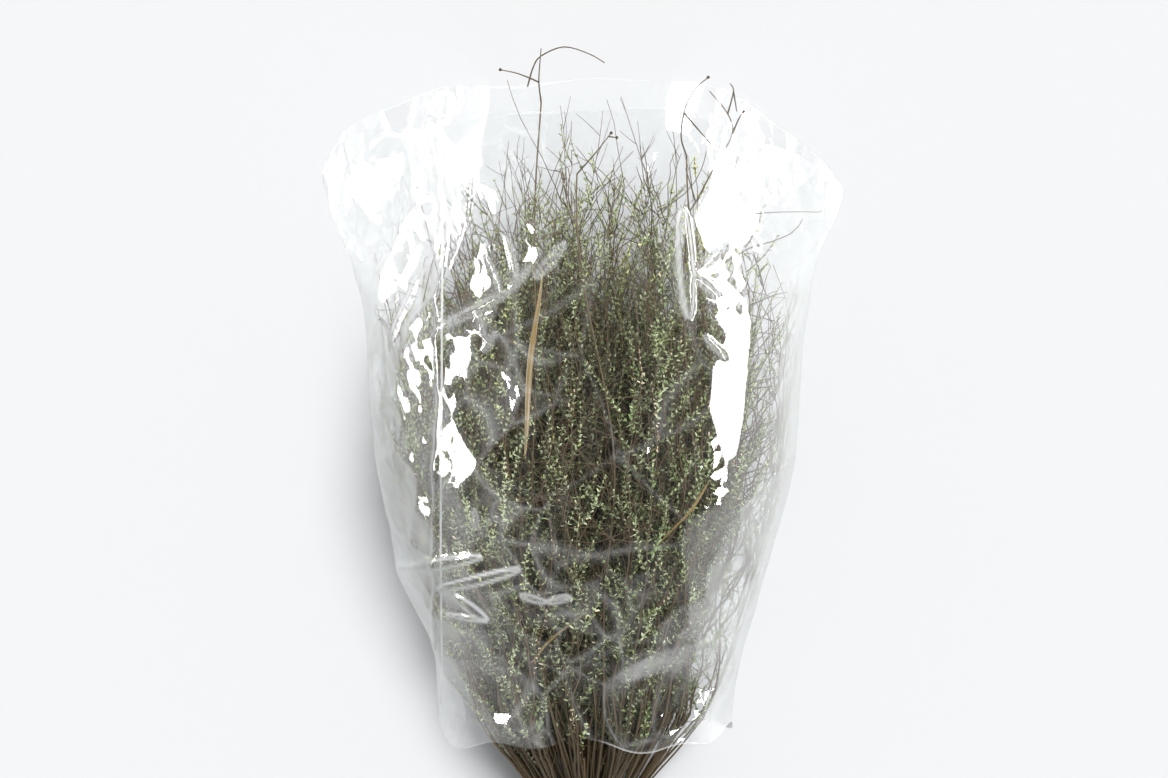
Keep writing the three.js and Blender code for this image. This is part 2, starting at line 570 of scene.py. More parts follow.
@dataclass
class SleeveShape:
    """The smooth outer shape of the film sleeve, read from its CAD node."""

    node: str = "film_sleeve"
    flattening: float = 1.06
    ring_vertices: int = 60
    softness: float = 0.042
    step: float = 0.004
    margin: float = 0.1
    nearly_out: float = 0.92
    held_from: float = -0.02
    floor: float = 2.5 * MM
    ceiling: float = 0.3

    def __post_init__(self) -> None:
        """Reads half width and half height along the sleeve."""
        points = node_points(self.node)
        levels, counts = np.unique(np.round(points[:, 1], 4), return_counts=True)
        rings = [y for y, n in zip(levels, counts) if n >= self.ring_vertices]
        widths = [np.abs(points[np.abs(points[:, 1] - y) < 1e-4, 0]).max() for y in rings]
        tops = [points[np.abs(points[:, 1] - y) < 1e-4, 2].max() for y in rings]
        corner = points[np.abs(points[:, 0]).argmax()]
        lip = points[points[:, 1].argmax()]
        beyond = points[points[:, 1] > rings[-1] + 0.05]
        self.foot = rings[0]
        self.corner = float(corner[1])
        self.lip = float(lip[1])
        self.levels = np.array([*rings, self.corner, self.lip])
        self.widths = np.array([*widths, abs(corner[0]), abs(corner[0])])
        top = float(beyond[:, 2].max())
        self.heights = np.array([*tops, top, top]) / (1 + self.flattening)
        self.soften()

    def soften(self) -> None:
        """Takes the kinks out of the profile with a running average."""
        fine = np.arange(self.foot - self.margin, self.lip + self.margin, self.step)
        reach = 36
        weights = np.exp(-0.5 * (np.arange(-reach, reach + 1) * self.step / self.softness) ** 2)
        weights /= weights.sum()
        for name in ("widths", "heights"):
            sampled = np.interp(fine, self.levels, getattr(self, name))
            padded = np.pad(sampled, reach, mode="reflect", reflect_type="odd")
            setattr(self, name, np.convolve(padded, weights, "valid"))
        self.levels = fine

    def half_width(self, y: np.ndarray) -> np.ndarray:
        """Half width at places along the sleeve.

        Args:
            y: The places.

        Returns:
            The half widths.
        """
        return np.interp(y, self.levels, self.widths)

    def half_height(self, y: np.ndarray) -> np.ndarray:
        """Height of the section's middle at places along the sleeve.

        Args:
            y: The places.

        Returns:
            The heights.
        """
        return np.interp(y, self.levels, self.heights)

    def keep_inside(self, points: np.ndarray, gap: float) -> np.ndarray:
        """Presses points that would poke through the film back inside it.

        Args:
            points: An (n, 3) array.
            gap: How far inside the film they stay.

        Returns:
            The moved points.
        """
        moved = points.copy()
        across = self.half_width(points[:, 1]) - gap
        middle = self.half_height(points[:, 1])
        up = middle * self.flattening - gap
        reach = np.hypot(points[:, 0] / across, (points[:, 2] - middle) / up)
        held = points[:, 1] > self.foot + self.held_from
        room = 1 - self.nearly_out
        pressed = self.nearly_out + room * np.tanh((reach - self.nearly_out) / room)
        squeeze = np.where(held & (reach > self.nearly_out), pressed / reach, 1)
        moved[:, 0] *= squeeze
        moved[:, 2] = middle + (points[:, 2] - middle) * squeeze
        moved[:, 2] = np.clip(moved[:, 2], self.floor, self.ceiling)
        return moved


# ---------------------------------------------------------------------------------------------
# Thyme


@dataclass
class Twig:
    """One thin stem: its line, its thickness along it and its bark."""

    points: np.ndarray
    radii: np.ndarray
    bark: Bark


def bark_in_painted_shade(bark: Bark, shade_depth: float) -> Bark:
    """The bark of a thin stem that may lie deep in the bundle, where the dark woody bark is painted shade.

    Args:
        bark: Its bark near the outside.
        shade_depth: How deep it lies, from 0 to 1.

    Returns:
        Its bark.
    """
    return Bark.WOODY if shade_depth > 0.5 else bark


@dataclass
class Leaves:
    """Leaves that are still to be drawn, as arrays with one row for each leaf."""

    base: list = field(default_factory=list)
    along: list = field(default_factory=list)
    normal: list = field(default_factory=list)
    length: list = field(default_factory=list)
    cell: list = field(default_factory=list)

    def add(
        self, base: np.ndarray, along: np.ndarray, normal: np.ndarray, length: np.ndarray, cell: np.ndarray
    ) -> None:
        """Adds a batch of leaves.

        Args:
            base: Where each leaf starts.
            along: Each leaf's direction.
            normal: The way each leaf's upper face looks.
            length: Each leaf's length.
            cell: Each leaf's column and row on the colour map.
        """
        self.base.append(base)
        self.along.append(along)
        self.normal.append(normal)
        self.length.append(length)
        self.cell.append(cell)


@dataclass
class LeafShape:
    """The one small leaf that all leaves are copies of: oval, arched and folded along its rib."""

    sides: int = 6
    width: float = 0.40
    fullness: float = 1.15
    fold: float = 0.10
    arch: float = 0.18
    cell_share: float = 0.86

    def __post_init__(self) -> None:
        """Draws the leaf from a closed circle, with its base at the origin and its tip at y = 1."""
        bm = bmesh.new()
        bmesh.ops.create_circle(bm, cap_ends=True, cap_tris=True, segments=self.sides, radius=0.5)
        for vertex in bm.verts:
            reach = vertex.co.y + 0.5
            vertex.co.x *= self.width * self.fullness
            vertex.co.z = self.fold * abs(vertex.co.x) / self.width - self.arch * (reach - 0.45) ** 2
            vertex.co.y = reach
        bm.normal_update()
        self.points = np.array([v.co[:] for v in bm.verts])
        self.faces = np.array([[v.index for v in f.verts] for f in bm.faces])
        bm.free()

    def tile(self, leaves: Leaves, shape: SleeveShape) -> bpy.types.Mesh | None:
        """Draws every leaf as one mesh, with each leaf laid in its own cell of the colour map.

        Args:
            leaves: The leaves.
            shape: The sleeve that they stay inside.

        Returns:
            The mesh, or None if there are no leaves.
        """
        if not leaves.base:
            return None
        base = np.concatenate(leaves.base)
        along = unit(np.concatenate(leaves.along))
        normal = np.concatenate(leaves.normal)
        normal = unit(normal - (normal * along).sum(1, keepdims=True) * along)
        across = np.cross(along, normal)
        length = np.concatenate(leaves.length)[:, None, None]
        cell = np.concatenate(leaves.cell)
        local = self.points[None] * length
        placed = (
            base[:, None]
            + local[..., :1] * across[:, None]
            + local[..., 1:2] * along[:, None]
            + local[..., 2:] * normal[:, None]
        ).reshape(-1, 3)
        placed = shape.keep_inside(placed, LEAF_GAP)
        count = len(base)
        faces = (self.faces[None] + len(self.points) * np.arange(count)[:, None, None]).reshape(-1, 3)
        mesh = bpy.data.meshes.new("leaves")
        mesh.vertices.add(len(placed))
        mesh.vertices.foreach_set("co", placed.astype(np.float32).ravel())
        mesh.loops.add(faces.size)
        mesh.loops.foreach_set("vertex_index", faces.astype(np.int32).ravel())
        mesh.polygons.add(len(faces))
        mesh.polygons.foreach_set("loop_start", np.arange(0, faces.size, 3, dtype=np.int32))
        mesh.update(calc_edges=True)
        inner = np.stack([self.points[:, 0] / self.width / self.fullness + 0.5, self.points[:, 1]], 1)
        inner = inner * self.cell_share + (1 - self.cell_share) / 2
        where = (cell[:, None] + inner[None]) / CELLS
        where = where.reshape(-1, 2)[faces.ravel()]
        layer = mesh.uv_layers.new(name=MAP)
        layer.data.foreach_set("uv", where.astype(np.float32).ravel())
        return mesh


def draw_twigs(twigs: list[Twig], shape: SleeveShape) -> bpy.types.Mesh:
    """Draws stems as closed tubes, each laid along its row of the colour map.

    Args:
        twigs: The stems.
        shape: The sleeve that they stay inside.

    Returns:
        The mesh.
    """
    curve = bpy.data.curves.new("stems", "CURVE")
    curve.dimensions = "3D"
    curve.bevel_depth = 1.0
    curve.bevel_resolution = 0
    curve.use_fill_caps = True
    curve.twist_mode = "MINIMUM"
    for twig in twigs:
        points = shape.keep_inside(twig.points, STEM_GAP)
        spline = curve.splines.new("POLY")
        spline.points.add(len(points) - 1)
        weighted = np.column_stack([points, np.ones(len(points))])
        spline.points.foreach_set("co", weighted.astype(np.float32).ravel())
        spline.points.foreach_set("radius", twig.radii.astype(np.float32))
        spline.material_index = twig.bark.value
        spline.use_smooth = True
    for _ in Bark:
        curve.materials.append(None)
    mesh = drawn(curve)
    rows = np.empty(len(mesh.polygons), np.int32)
    mesh.polygons.foreach_get("material_index", rows)
    totals = np.empty(len(mesh.polygons), np.int32)
    mesh.polygons.foreach_get("loop_total", totals)
    row = np.repeat(rows, totals)
    layer = mesh.uv_layers[0] if mesh.uv_layers else mesh.uv_layers.new(name=MAP)
    layer.name = MAP
    uv = np.empty(len(mesh.loops) * 2, np.float32)
    layer.data.foreach_get("uv", uv)
    uv = uv.reshape(-1, 2)
    placed = np.stack([uv[:, 0] * 0.98 + 0.01, (row + 0.1 + 0.8 * uv[:, 1]) / CELLS], 1)
    layer.data.foreach_set("uv", placed.astype(np.float32).ravel())
    mesh.materials.clear()
    return mesh


def joined(stems: bpy.types.Mesh, leaves: bpy.types.Mesh | None, cuts: list) -> bpy.types.Mesh:
    """Joins stems and leaves into one mesh, with the stems in the first slot.

    Args:
        stems: The stems.
        leaves: The leaves, if there are any.
        cuts: The middle and radius of each cut stem's pale end face.

    Returns:
        The joined mesh.
    """
    if leaves is None:
        return stems
    leaves.polygons.foreach_set("material_index", np.ones(len(leaves.polygons), np.int32))
    bm = bmesh.new()
    bm.from_mesh(stems)
    bm.from_mesh(leaves)
    layer = bm.loops.layers.uv[MAP]
    for centre, radius in cuts:
        place = Matrix.Translation(centre) @ Matrix.Rotation(math.pi / 2, 4, "X")
        disc = bmesh.ops.create_circle(bm, cap_ends=True, segments=10, radius=radius, matrix=place)
        for face in {f for v in disc["verts"] for f in v.link_faces}:
            face.material_index = 1
            for loop in face.loops:
                gap = (loop.vert.co - Vector(centre)) * 0.4 / radius
                loop[layer].uv = ((8.75 + gap.x) / CELLS, (LeafKind.CREAM.value[0] + 0.5 + gap.z) / CELLS)
    mesh = bpy.data.meshes.new("thyme")
    bm.to_mesh(mesh)
    bm.free()
    bpy.data.meshes.remove(stems)
    bpy.data.meshes.remove(leaves)
    return mesh


@dataclass
class ShootAxis:
    """A shoot's middle line, read from the rings of its CAD node."""

    node: str

    def __post_init__(self) -> None:
        """Reads the rings."""
        points = node_points(self.node)
        levels = np.unique(np.round(points[:, 1], 4))
        rings = [points[np.abs(points[:, 1] - y) < 1e-4] for y in levels]
        self.levels = levels
        self.middles = np.array([(r.min(0) + r.max(0)) / 2 for r in rings])
        self.base = float(levels[0])
        self.tip = float(levels[-1])

    def at(self, y: np.ndarray) -> np.ndarray:
        """The middle line's places.

        Args:
            y: Places along the bundle.

        Returns:
            An (n, 3) array.
        """
        x = np.interp(y, self.levels, self.middles[:, 0])
        z = np.interp(y, self.levels, self.middles[:, 2])
        return np.stack([x, y, z], 1)


@dataclass
class Sprig:
    """One sprig of thyme, grown from one woody base that forks into leafy side shoots."""

    node: str
    seed: int
    shape: SleeveShape
    leaders: int = 5
    leader_radius: float = 0.95 * MM
    side_spacing: float = 12.0 * MM
    side_length: float = 62 * MM
    leaf_spacing: float = 5.2 * MM
    leaf_length: float = 5.0 * MM
    spread: float = 40 * MM
    wiry: int = 7
    bare_share: float = 0.16
    dry_share: float = 0.035
    cream_share: float = 0.012
    steepest: float = 1.35

    def __post_init__(self) -> None:
        """Reads the sprig's place and starts its own random numbers."""
        self.rng = np.random.default_rng(self.seed)
        self.axis = ShootAxis(self.node)
        self.twigs: list[Twig] = []
        self.leaves = Leaves()
        self.tone = self.rng.normal(0, 1.3)

    def wander(self, y: np.ndarray, size: float) -> np.ndarray:
        """Slow sideways bends.

        Args:
            y: Places along the stem.
            size: How wide they are.

        Returns:
            An (n, 3) array of offsets.
        """
        bends = np.zeros((len(y), 3))
        for axis in (0, 2):
            for wave in (0.22, 0.11, 0.052):
                swing = size * self.rng.normal(0, 0.6) * (wave / 0.22)
                bends[:, axis] += swing * np.sin(2 * np.pi * y / wave + self.rng.uniform(0, 2 * np.pi))
        return bends

    def grow_base(self) -> None:
        """The woody base stem and its cut end."""
        start, rng = self.axis.base, self.rng
        y = np.linspace(start, start + 0.16, 12)
        line = self.axis.at(y) + self.wander(y, 0.8 * MM)
        self.twigs.append(Twig(line, np.linspace(2.1, 1.25, 12) * MM * rng.uniform(0.85, 1.1), Bark.WOODY))
        self.cuts = [(Vector(line[0]) + Vector((0, -0.15 * MM, 0)), 1.9 * MM)]

    def grow_leader(self, index: int) -> None:
        """One main stem with its side shoots.

        Args:
            index: Which of the sprig's main stems it is.
        """
        rng = self.rng
        low = index < 2
        start = self.axis.base + (rng.uniform(0.012, 0.03) if low else rng.uniform(0.085, 0.15))
        reach = (self.axis.tip - self.axis.base) * (1 if index == 2 else rng.uniform(0.72, 1.0))
        end = self.axis.base + reach
        y = np.linspace(start, end, 34)
        turn = index * GOLDEN_ANGLE + rng.uniform(0, 1.5)
        fan = self.spread * rng.uniform(0.35, 1.1) * smooth(y, self.axis.base + 0.10, self.axis.base + 0.34)
        fan += 3.0 * MM * smooth(y, start, start + 0.04) if low else 0
        offset = np.stack([fan * math.cos(turn), 0 * y, 0.8 * fan * math.sin(turn)], 1)
        bends = self.wander(y, 12 * MM) * smooth(y, self.axis.base + 0.09, self.axis.base + 0.3)[:, None]
        line = self.axis.at(y) + offset + bends
        radii = self.leader_radius * rng.uniform(0.8, 1.25) * np.linspace(1.25, 0.3, len(y))
        bark = rng.choice([Bark.BROWN, Bark.GREEN, Bark.RED], p=[0.36, 0.52, 0.12])
        self.twigs.append(Twig(line, radii, bark))
        self.grow_sides(line, start, end)
        for _ in range(self.wiry):
            self.grow_wiry(line)
        self.grow_bare_top(line)

    def grow_sides(self, line: np.ndarray, start: float, end: float) -> None:
        """Side shoots all along a main stem.

        Args:
            line: The main stem's points.
            start: Where it starts.
            end: Where it ends.
        """
        rng = self.rng
        first = max(start + 0.03, self.axis.base + rng.uniform(0.14, 0.21))
        y = first
        turn = rng.uniform(0, 2 * np.pi)
        phase = rng.uniform(0, 2 * np.pi)
        while y < end - 0.006:
            share = (y - first) / (end - first)
            if rng.random() < 0.2 + 0.25 * math.sin(y / 0.021 + phase) + self.thinning(y):
                y += self.side_spacing * 0.8
                continue
            place = np.array([np.interp(y, line[:, 1], line[:, i]) for i in range(3)])
            turn += GOLDEN_ANGLE + rng.normal(0, 0.4)
            full = 0.35 + 0.65 * min(1, 3.2 * (1 - share), 0.2 + 5 * share)
            length = self.side_length * rng.uniform(0.5, 1.4) * full
            self.grow_side(place, turn, length, share)
            y += self.side_spacing * rng.uniform(0.6, 1.4)

    def thinning(self, y: float) -> float:
        """How much sparser the side shoots are on sprigs that lie near the bundle's sides.

        Args:
            y: Place along the bundle.

        Returns:
            The extra share of side shoots left out.
        """
        reach = abs(np.interp(y, self.axis.levels, self.axis.middles[:, 0])) / self.shape.half_width(y)
        return float(0.15 * smooth(reach, 0.6, 0.9))

    def grow_side(self, place: np.ndarray, turn: float, length: float, share: float) -> None:
        """One side shoot, and its leaves.

        Args:
            place: Where it leaves the main stem.
            turn: Which way round the stem it leaves.
            length: Its length.
            share: How far up the main stem it is, from 0 to 1.
        """
        rng = self.rng
        count = 6
        t = np.linspace(0, 1, count)
        lean = rng.uniform(0.5, 1.05)
        out = np.array([math.cos(turn), 0, math.sin(turn)])
        angle = lean * (1 - 0.55 * t)
        steps = np.sin(angle)[:, None] * out + np.cos(angle)[:, None] * np.array([0, 1, 0])
        steps += rng.normal(0, 0.2, (count, 3)).cumsum(0) * 0.6
        steps[0] = 0
        line = place + np.cumsum(steps, 0) * length / (count - 1)
        bark = rng.choice([Bark.GREEN, Bark.BROWN, Bark.RED], p=[0.64, 0.26, 0.10])
        # Stems deep in the bundle get the dark woody bark: painted shade.
        bark = bark_in_painted_shade(bark, float(self.shade_depth(line).mean()))
        self.twigs.append(Twig(line, np.linspace(0.46, 0.22, count) * MM, bark))
        dry = rng.random() < self.dry_share
        bare = rng.random() < self.bare_share
        if bare and not dry:
            return
        self.put_leaves(line, dry, share)

    def grow_wiry(self, line: np.ndarray) -> None:
        """One long, thin, leafless stem that curls through the leaves.

        Args:
            line: The main stem's points.
        """
        rng = self.rng
        root = line[rng.integers(len(line) // 2, len(line) - 2)]
        count = 9
        length = rng.uniform(0.05, 0.14)
        lean, turn = rng.uniform(0.1, 1.4), rng.uniform(0, 2 * np.pi)
        curl = rng.normal(0, 1.5)
        t = np.linspace(0, 1, count)
        angle = np.clip(lean + curl * t, -self.steepest, self.steepest)
        out = np.array([math.cos(turn), 0, math.sin(turn)])
        steps = np.sin(angle)[:, None] * out + np.cos(angle)[:, None] * np.array([0, 1, 0])
        steps += rng.normal(0, 0.12, (count, 3)).cumsum(0)
        steps[0] = 0
        points = root + np.cumsum(steps, 0) * length / (count - 1)
        bark = rng.choice([Bark.GREEN, Bark.BROWN, Bark.RED], p=[0.5, 0.4, 0.1])
        # Stems deep in the bundle get the dark woody bark: painted shade.
        bark = bark_in_painted_shade(bark, float(self.shade_depth(points).mean()))
        self.twigs.append(Twig(points, np.linspace(0.46, 0.24, count) * MM, bark))

    def shade_depth(self, points: np.ndarray) -> np.ndarray:
        """How deep points lie in the bundle, which sets the painted shade on leaves and stems that lie deep
        inside.

        Args:
            points: An (n, 3) array.

        Returns:
            0 at the outside, 1 deep inside.
        """
        y = points[:, 1]
        middle = self.shape.half_height(y)
        reach = np.hypot(points[:, 0] / self.shape.half_width(y), points[:, 2] / middle - 1)
        return (1 - smooth(reach, 0.5, 0.82)) * smooth(self.axis.tip - y, 0.03, 0.19)

    def put_leaves(self, line: np.ndarray, dry: bool, share: float) -> None:
        """Leaves in crossed pairs, with small tufts in their axils, along a side shoot.

        Args:
            line: The side shoot's points.
            dry: Whether it carries old cream flower heads in place of leaves.
            share: How far up the sprig it is, from 0 to 1.
        """
        rng = self.rng
        gaps = np.linalg.norm(np.diff(line, axis=0), axis=1)
        run = np.concatenate([[0], np.cumsum(gaps)])
        spots = np.arange(run[-1] * 0.12, run[-1], self.leaf_spacing * rng.uniform(0.85, 1.15))
        spots = np.append(spots, run[-1] * 0.995)
        n = len(spots)
        places = np.stack([np.interp(spots, run, line[:, i]) for i in range(3)], 1)
        segment = np.clip(np.searchsorted(run, spots) - 1, 0, len(gaps) - 1)
        tangent = unit(np.diff(line, axis=0))[segment]
        side = unit(np.cross(tangent, rng.normal(0, 1, 3)))
        other = np.cross(tangent, side)
        per = 5
        turns = (np.arange(n) * np.pi / 2)[:, None] + np.array([0, np.pi, 0.9, 0.9 + np.pi, 2.2])
        turns = turns + rng.normal(0, 0.35, (n, per))
        tilt = np.array([1.0, 1.0, 0.55, 0.55, 0.3]) + rng.normal(0, 0.22, (n, per))
        size = np.array([1.0, 1.0, 0.68, 0.62, 0.6]) * rng.uniform(0.78, 1.18, (n, per))
        size *= (1 - 0.4 * (spots / run[-1]) ** 3)[:, None]
        radial = np.cos(turns)[..., None] * side[:, None] + np.sin(turns)[..., None] * other[:, None]
        along = np.cos(tilt)[..., None] * tangent[:, None] + np.sin(tilt)[..., None] * radial
        normal = np.sin(tilt)[..., None] * tangent[:, None] - np.cos(tilt)[..., None] * radial
        keep = rng.random((n, per)) < np.array([0.97, 0.97, 0.8, 0.7, 0.5])
        tone = 4.4 + self.tone + rng.normal(0, 1.1) + rng.normal(0, 1.2, (n, per)) + 1.2 * share
        first, rows = LeafKind.THYME.value
        row = first + np.clip(np.round(tone), 0, rows - 1)
        if dry:
            row = np.where(rng.random((n, per)) < 0.6, LeafKind.CREAM.value[0], LeafKind.DEAD.value[0])
            keep &= rng.random((n, per)) < 0.55
            size *= 0.75
        row = np.where(rng.random((n, per)) < self.cream_share, LeafKind.CREAM.value[0], row)
        # Leaves deep in the bundle take darker columns of the colour map: painted shade.
        shade_depth = self.shade_depth(places)[:, None]
        column = np.clip(np.round(rng.uniform(7, 17, (n, per)) - 12 * shade_depth), 0, CELLS - 1)
        self.leaves.add(
            np.repeat(places[:, None], per, 1)[keep],
            along[keep],
            normal[keep],
            (self.leaf_length * size)[keep],
            np.stack([column, row], 2)[keep],
        )

    def grow_bare_top(self, line: np.ndarray) -> None:
        """Thin reddish leafless twigs that stand above a main stem's leaves.

        Args:
            line: The main stem's points.
        """
        rng = self.rng
        if rng.random() < 0.3:
            return
        top, way = line[-1], unit((line[-1] - line[-4])[None])[0]
        length = rng.uniform(0.02, 0.07)
        t = np.linspace(0, 1, 6)
        bend = rng.normal(0, 0.22, 3) * length
        stalk = top + np.outer(t * length, way) + np.outer(t * t, bend)
        self.twigs.append(Twig(stalk, np.linspace(0.34, 0.2, 6) * MM, Bark.RED))
        for _ in range(rng.integers(1, 4)):
            root = stalk[rng.integers(1, 5)]
            lean = unit((way + rng.normal(0, 0.5, 3))[None])[0]
            t = np.linspace(0, 1, 4)
            reach = rng.uniform(0.012, 0.034)
            twig = root + np.outer(t * reach, lean) + np.outer(t * t * reach, rng.normal(0, 0.15, 3))
            self.twigs.append(Twig(twig, np.linspace(0.27, 0.18, 4) * MM, Bark.RED))

    def build(self, leaf: LeafShape, materials: tuple) -> bpy.types.Object:
        """Grows the sprig and draws it.

        Args:
            leaf: The leaf to copy.
            materials: Bark and leaf materials.

        Returns:
            The sprig.
        """
        self.grow_base()
        for index in range(self.leaders):
            self.grow_leader(index)
        mesh = joined(draw_twigs(self.twigs, self.shape), leaf.tile(self.leaves, self.shape), self.cuts)
        piece = add_object(self.node + "_grown", mesh, *materials)
        seat(piece, "thyme", self.node)
        return piece


@dataclass(frozen=True)
class Branch:
    """A branch of a dry twig: points across and along from the twig's tip, in millimetres."""

    points: tuple
    knob: bool = False


@dataclass
class DryTwig:
    """A bare dead flower stalk that stands above the crown, with a few seed knobs."""

    node: str
    branches: tuple

    def build(self, shape: SleeveShape, materials: tuple) -> bpy.types.Object:
        """Draws the twig along its CAD node, and its branches at the top.

        Args:
            shape: The sleeve.
            materials: Bark and leaf materials.

        Returns:
            The twig.
        """
        axis = ShootAxis(self.node)
        tip = axis.at(np.array([axis.tip]))[0]
        fork = tip[:2] + np.array(self.branches[0].points[0]) * MM
        y = np.linspace(axis.base, fork[1], 40)
        line = axis.at(y)
        sway = 3 * MM * smooth(y, axis.base + 0.1, axis.base + 0.3)
        line[:, 0] += np.sin(2 * np.pi * (y - fork[1]) / 0.31) * sway
        line[:, 0] += (fork[0] - line[-1, 0]) * smooth(y, fork[1] - 0.3, fork[1])
        line[:, 2] += (tip[2] - line[-1, 2]) * smooth(y, fork[1] - 0.3, fork[1])
        twigs = [Twig(line, np.linspace(1.5, 0.7, len(y)) * MM, Bark.RED)]
        knobs = []
        for branch in self.branches:
            flat = np.array(branch.points, float) * MM
            points = tip + np.pad(self.rounded(flat), ((0, 0), (0, 1)))
            twigs.append(Twig(points, np.linspace(0.72, 0.42, len(points)) * MM, Bark.RED))
            if branch.knob:
                knobs.append(shape.keep_inside(points[-1:], STEM_GAP)[0])
        mesh = draw_twigs(twigs, shape)
        bm = bmesh.new()
        bm.from_mesh(mesh)
        layer = bm.loops.layers.uv[MAP]
        for knob in knobs:
            made = bmesh.ops.create_icosphere(bm, subdivisions=2, radius=1.5 * MM)
            bmesh.ops.translate(bm, verts=made["verts"], vec=knob)
            for face in {f for v in made["verts"] for f in v.link_faces}:
                face.smooth = True
                for loop in face.loops:
                    loop[layer].uv = (0.05, 0.5 / CELLS)
        bm.to_mesh(mesh)
        bm.free()
        piece = add_object(self.node + "_grown", mesh, *materials)
        seat(piece, "dry_twig", self.node)
        return piece

    @staticmethod
    def rounded(points: np.ndarray) -> np.ndarray:
        """A smooth line through points.

        Args:
            points: An (n, 2) array.

        Returns:
            A longer (m, 2) array on the smooth line.
        """
        padded = np.vstack([2 * points[0] - points[1], points, 2 * points[-1] - points[-2]])
        found = []
        for a, b, c, d in zip(padded, padded[1:], padded[2:], padded[3:]):
            square, cube = 2 * a - 5 * b + 4 * c - d, 3 * b - 3 * c + d - a
            for t in np.linspace(0, 1, 5)[:-1]:
                found.append(0.5 * (2 * b + (c - a) * t + square * t**2 + cube * t**3))
        found.append(points[-1])
        return np.array(found)


@dataclass
class StrawBlade:
    """A dried grass blade caught on top of the sprigs."""

    node: str
    width: float
    seed: int

    def build(self, material: bpy.types.Material) -> bpy.types.Object:
        """Draws the blade along its CAD node: folded along its middle, and gently twisted.

        Args:
            material: Its straw.

        Returns:
            The blade.
        """
        rng = np.random.default_rng(self.seed)
        axis = ShootAxis(self.node)
        bm = bmesh.new()
        bmesh.ops.create_grid(bm, x_segments=4, y_segments=44, size=1.0)
        layer = bm.loops.layers.uv.new(MAP)
        for face in bm.faces:
            face.smooth = True
            for loop in face.loops:
                loop[layer].uv = ((loop.vert.co.x + 1) / 2, (loop.vert.co.y + 1) / 2)
        phase = rng.uniform(0, 6)
        for vertex in bm.verts:
            across, t = vertex.co.x, (vertex.co.y + 1) / 2
            y = axis.base + t * (axis.tip - axis.base)
            middle = axis.at(np.array([y]))[0]
            half = self.width / 2 * (0.12 + 0.88 * math.sin(math.pi * t**0.8) ** 0.7)
            twist = 0.5 * math.sin(3.1 * t + phase)
            fold = 0.35 * abs(across) * half
            vertex.co.x = middle[0] + across * half * math.cos(twist) + 1.5 * MM * math.sin(7 * t + phase)
            vertex.co.y = y
            vertex.co.z = middle[2] + across * half * math.sin(twist) + fold
        bmesh.ops.solidify(bm, geom=bm.faces[:], thickness=0.25 * MM)
        mesh = bpy.data.meshes.new(self.node)
        bm.to_mesh(mesh)
        bm.free()
        piece = add_object(self.node + "_dried", mesh, material)
        seat(piece, "straw", self.node)
        return piece


@dataclass
class ElasticTie:
    """A natural elastic band wound several times round the bare stems."""

    node: str = "elastic_tie"
    turns: int = 4
    thickness: float = 1.5 * MM
    steps: int = 96

    def build(self, material: bpy.types.Material) -> bpy.types.Object:
        """Draws the wound band inside the CAD ring's space.

        Args:
            material: Its rubber.

        Returns:
            The band.
        """
        low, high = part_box(self.node)
        middle = (low + high) / 2
        across, up = (high.x - low.x) / 2 - 1.3 * MM, (high.z - low.z) / 2 - 1.3 * MM
        curve = bpy.data.curves.new(self.node, "CURVE")
        curve.dimensions = "3D"
        curve.bevel_depth = self.thickness / 2
        curve.bevel_resolution = 3
        for turn in range(self.turns):
            spline = curve.splines.new("POLY")
            spline.points.add(self.steps - 1)
            spline.use_cyclic_u = True
            spline.use_smooth = True
            shift = (turn - (self.turns - 1) / 2) * self.thickness * 1.12
            for step, point in enumerate(spline.points):
                angle = 2 * math.pi * step / self.steps
                slant = 1.6 * MM * math.sin(angle + 1.9 * turn) * (1 if turn % 2 else -1)
                lift = 0.45 * MM * math.sin(2 * angle + turn) + (0.4 * MM if turn % 2 else 0)
                point.co = (
                    middle.x + (across + lift) * math.cos(angle),
                    middle.y + shift + slant,
                    middle.z + (up + lift) * math.sin(angle),
                    1,
                )
        piece = add_object("wound_elastic", drawn(curve), material)
        seat(piece, "elastic", self.node)
        return piece


# ---------------------------------------------------------------------------------------------
# Film sleeve


@dataclass(frozen=True)
class Tuck:
    """A narrow raised pleat in the film, seen from above: its ends, width, height and whiteness, which is how
    pale its folded edges are painted, as stress whitening with a painted highlight.
    """

    start: tuple
    end: tuple
    width: float
    height: float
    whiteness: float = 0.42


